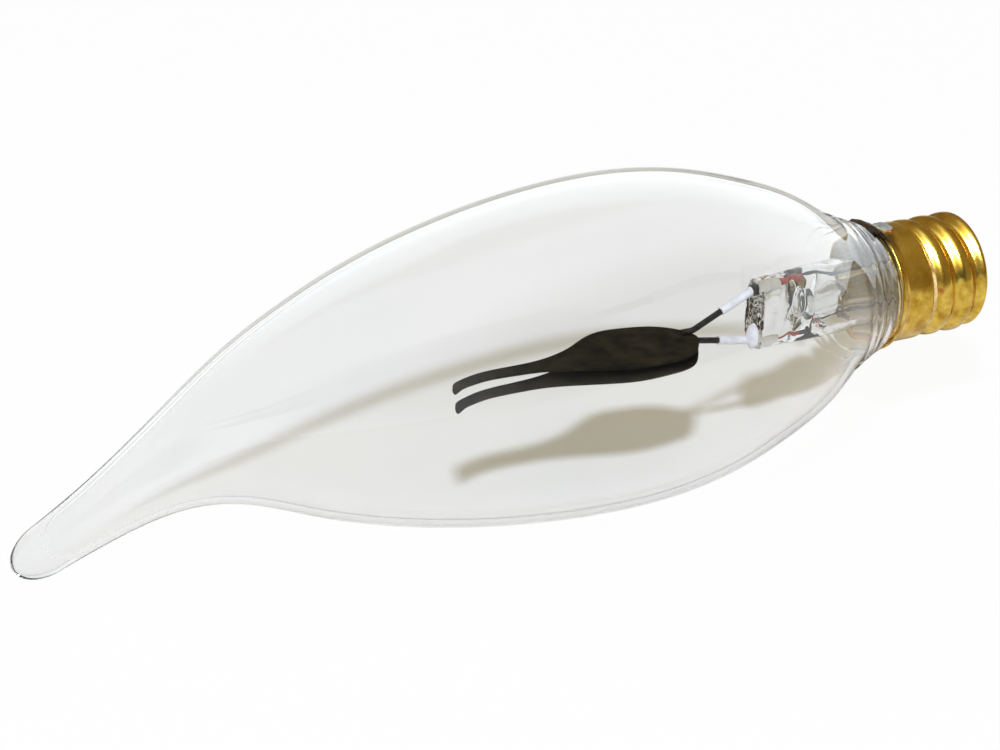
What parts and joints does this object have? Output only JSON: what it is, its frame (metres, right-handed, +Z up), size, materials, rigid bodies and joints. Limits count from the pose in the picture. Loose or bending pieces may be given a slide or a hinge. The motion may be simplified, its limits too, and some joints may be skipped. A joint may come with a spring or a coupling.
{
  "type": "neon flicker flame lamp",
  "caption": "Clear blown bent-tip bulb with flame shaped plates on a pinched glass stem and a brass candelabra screw base.",
  "frame": {"origin": "centre of the bounding box on the floor that the bulb rests on", "axes": "+X along the lamp towards the screw base, -X towards the bent tip, +Z up; the tip hangs down towards -Z"},
  "size_m": [0.1076, 0.0328, 0.0328],
  "materials": {
    "clear_glass": "clear blown glass, glossy",
    "stem_glass": "pressed lead glass, clear with streaks and a crackled end",
    "rolled_brass": "rolled brass, bright on the crests, tarnished and pitted in the grooves",
    "contact_brass": "pressed brass, lightly tarnished",
    "flame_sheet": "oxidised sheet metal, matte dark grey",
    "lead_wire": "oxidised nickel wire, matte",
    "outer_wire": "dark oxidised copper wire",
    "seal_copper": "copper-clad seal wire, deep red seen through the glass",
    "white_frit": "white fused glass frit",
    "dark_frit": "dark fused glass frit",
    "basing_cement": "fired tan cement, rough",
    "solder": "soft solder, satin",
    "burnt_flux": "burnt rosin, glossy dark brown",
    "moulded_insulator": "moulded phenolic, semi-gloss black",
    "resistor_body": "lacquered ceramic, satin",
    "tinned_steel": "tinned steel, satin"
  },
  "bodies": {
    "root": {"glass_envelope": "clear_glass", "screw_shell": "rolled_brass", "inner_lead_upper": "lead_wire", "lead_sleeve_upper": "white_frit", "seal_wire_upper": "seal_copper", "flame_plate_upper": "flame_sheet", "lead_bead_upper": "dark_frit", "inner_lead_lower": "lead_wire", "lead_sleeve_lower": "white_frit", "seal_wire_lower": "seal_copper", "flame_plate_lower": "flame_sheet", "lead_bead_lower": "white_frit", "exhaust_tube": "stem_glass", "glass_stem": "stem_glass", "outer_lead_shell": "outer_wire", "outer_lead_contact": "outer_wire", "basing_cement": "basing_cement", "rim_solder": "solder", "rim_flux": "burnt_flux", "base_insulator": "moulded_insulator", "centre_contact": "contact_brass", "centre_solder": "solder", "resistor_body": "resistor_body", "resistor_cap_top": "tinned_steel", "resistor_cap_bottom": "tinned_steel", "resistor_lead": "tinned_steel"}
  },
  "joints": []
}
